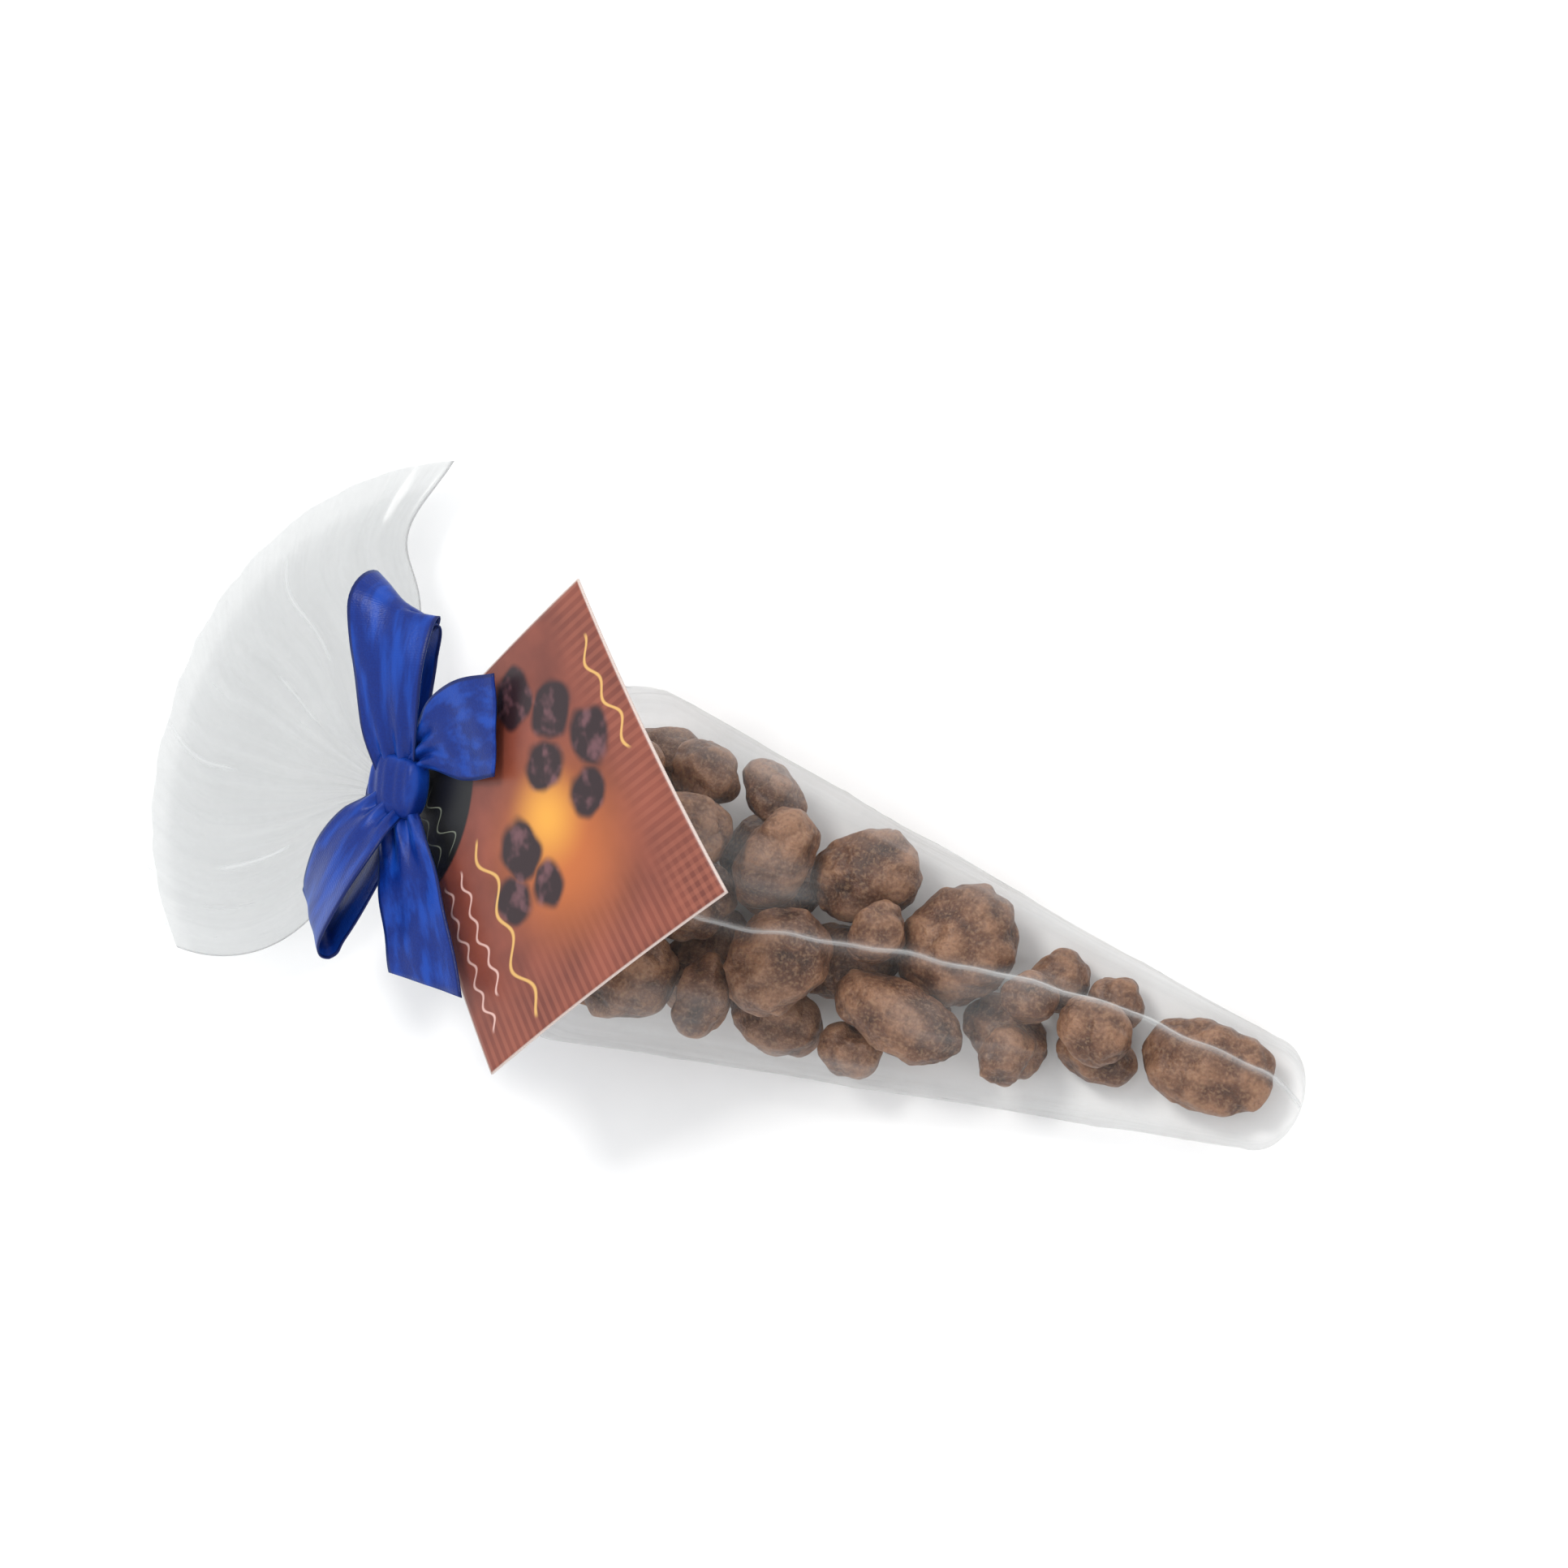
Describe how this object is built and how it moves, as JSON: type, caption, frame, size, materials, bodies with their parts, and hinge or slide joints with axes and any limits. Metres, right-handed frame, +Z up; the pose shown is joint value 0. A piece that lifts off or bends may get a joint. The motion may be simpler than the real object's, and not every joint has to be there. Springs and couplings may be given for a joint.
{
  "type": "cone bag of coated sweets",
  "caption": "Clear cone-shaped film bag of chocolate coated sweets lying on its side, its neck tied with a blue satin ribbon bow that holds a square card; the mouth fans out.",
  "frame": {"origin": "middle of the footprint of the whole object's box, on the table", "axes": "+X from the fanned mouth to the closed tip, +Z up from the table, +Y across the bag"},
  "size_m": [0.2382, 0.1058, 0.0621],
  "materials": {
    "clear_film": "clear crinkly polypropylene film, glossy, faintly hazy where it is gathered",
    "card": "printed coated card, semi-matt, with pale cut edges",
    "satin_ribbon": "royal blue satin with woven edges",
    "milk_chocolate": "matt milk chocolate coating with fine speckle and rubbed high spots"
  },
  "bodies": {
    "root": {"bag_film": "clear_film", "tag_card": "card", "ribbon_bow": "satin_ribbon", "coated_sweet_01": "milk_chocolate", "coated_sweet_02": "milk_chocolate", "coated_sweet_03": "milk_chocolate", "coated_sweet_04": "milk_chocolate", "coated_sweet_05": "milk_chocolate", "coated_sweet_06": "milk_chocolate", "coated_sweet_07": "milk_chocolate", "coated_sweet_08": "milk_chocolate", "coated_sweet_09": "milk_chocolate", "coated_sweet_10": "milk_chocolate", "coated_sweet_11": "milk_chocolate", "coated_sweet_12": "milk_chocolate", "coated_sweet_13": "milk_chocolate", "coated_sweet_14": "milk_chocolate", "coated_sweet_15": "milk_chocolate", "coated_sweet_16": "milk_chocolate", "coated_sweet_17": "milk_chocolate", "coated_sweet_18": "milk_chocolate", "coated_sweet_19": "milk_chocolate", "coated_sweet_20": "milk_chocolate", "coated_sweet_21": "milk_chocolate", "coated_sweet_22": "milk_chocolate", "coated_sweet_23": "milk_chocolate", "coated_sweet_24": "milk_chocolate", "coated_sweet_25": "milk_chocolate", "coated_sweet_26": "milk_chocolate", "coated_sweet_27": "milk_chocolate", "coated_sweet_28": "milk_chocolate", "coated_sweet_29": "milk_chocolate", "coated_sweet_30": "milk_chocolate", "coated_sweet_31": "milk_chocolate", "coated_sweet_32": "milk_chocolate", "coated_sweet_33": "milk_chocolate", "coated_sweet_34": "milk_chocolate", "coated_sweet_35": "milk_chocolate", "coated_sweet_36": "milk_chocolate"}
  },
  "joints": []
}
